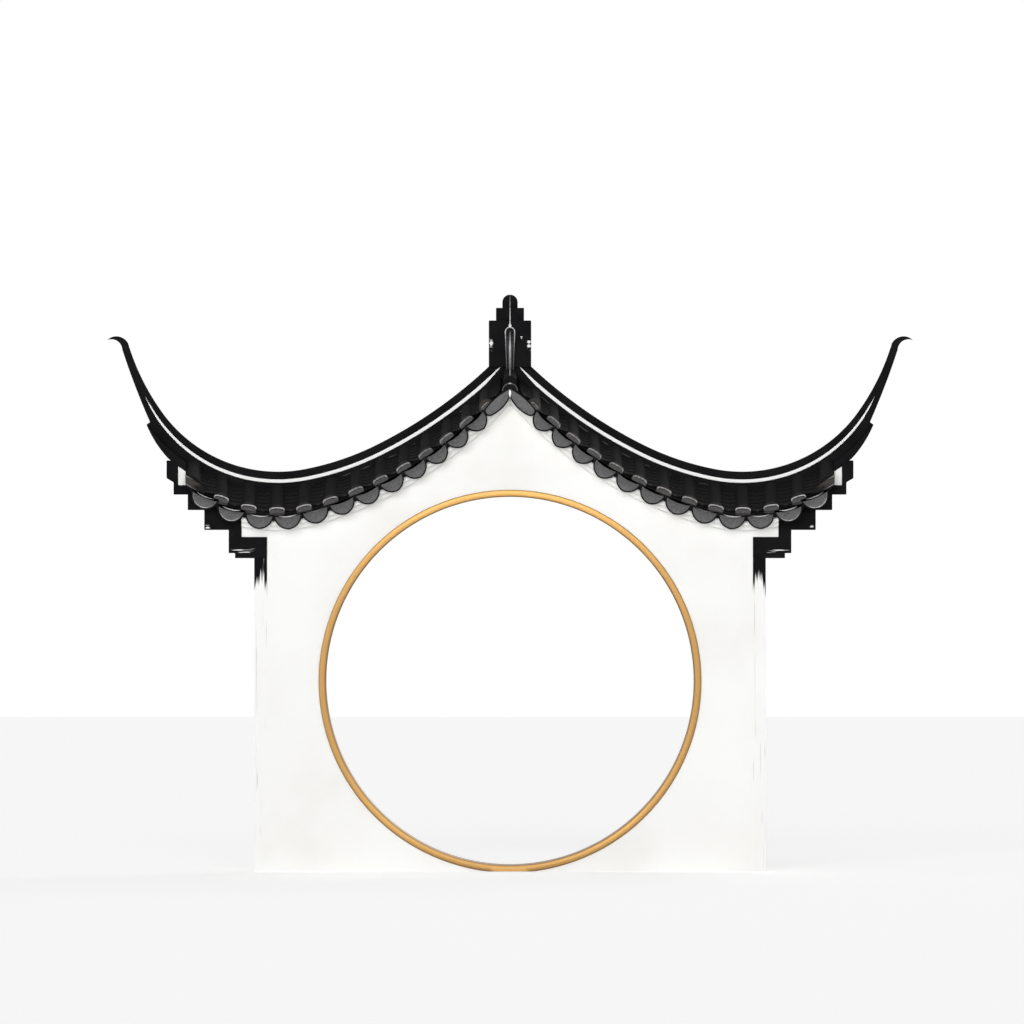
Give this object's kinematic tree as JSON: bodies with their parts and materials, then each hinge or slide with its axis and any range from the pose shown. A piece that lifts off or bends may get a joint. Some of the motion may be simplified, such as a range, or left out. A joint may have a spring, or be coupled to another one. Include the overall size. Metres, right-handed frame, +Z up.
{
  "type": "moon gate",
  "caption": "Free-standing whitewashed wall with a round gold-lined opening, under a black tiled coping with upturned horned ridges and stepped corbels.",
  "frame": {"origin": "on the ground, under the middle of the opening and at mid thickness of the wall", "axes": "+X along the wall to the viewer's right, +Y through the opening away from the front, +Z up"},
  "size_m": [4.8344, 0.668, 3.456],
  "materials": {
    "plaster": "lime-washed plaster on masonry, matt",
    "strip": "lime-washed plaster with a black wash fading out near the top",
    "ring": "ochre-gold lining, satin with darker edges",
    "black_brick": "brick rendered black, matt",
    "ridge_black": "black-washed ridge tile and mortar, matt",
    "ridge_white": "white lime fillet",
    "roof_bed": "dark pan tiles on mortar",
    "cover_tile": "smoke-fired grey clay tile, worn pale on its edges",
    "drip_tile": "smoke-fired grey clay tile with a pale rim"
  },
  "bodies": {
    "root": {"upper_wall_left": "plaster", "upper_wall_right": "plaster", "lower_wall_left": "plaster", "lower_wall_right": "plaster", "corbel_core_left": "plaster", "corbel_core_right": "plaster", "cornice_left": "plaster", "cornice_right": "plaster", "end_strip_left": "strip", "end_strip_right": "strip", "ring_right": "ring", "ring_upper_right": "ring", "ring_crown": "ring", "ring_upper_left": "ring", "ring_left": "ring", "ring_lower_left": "ring", "ring_sill": "ring", "ring_lower_right": "ring", "corbel_edging_left": "black_brick", "corbel_edging_right": "black_brick", "ridge_cap_left": "ridge_black", "ridge_cap_right": "ridge_black", "ridge_base_left": "ridge_black", "ridge_base_right": "ridge_black", "ridge_tail_left": "ridge_black", "ridge_tail_right": "ridge_black", "horn_left": "ridge_black", "horn_right": "ridge_black", "finial_block": "ridge_black", "finial_tier": "ridge_black", "finial_knob": "ridge_black", "ridge_fillet_left": "ridge_white", "ridge_fillet_right": "ridge_white", "mitre_keys": "ridge_white", "tile_bed_front_left": "roof_bed", "tile_bed_front_right": "roof_bed", "tile_bed_back_left": "roof_bed", "tile_bed_back_right": "roof_bed", "cover_tiles_left": "cover_tile", "cover_tiles_right": "cover_tile", "verge_rolls": "cover_tile", "centre_rolls": "cover_tile", "drip_tiles_left": "drip_tile", "drip_tiles_right": "drip_tile"}
  },
  "joints": []
}
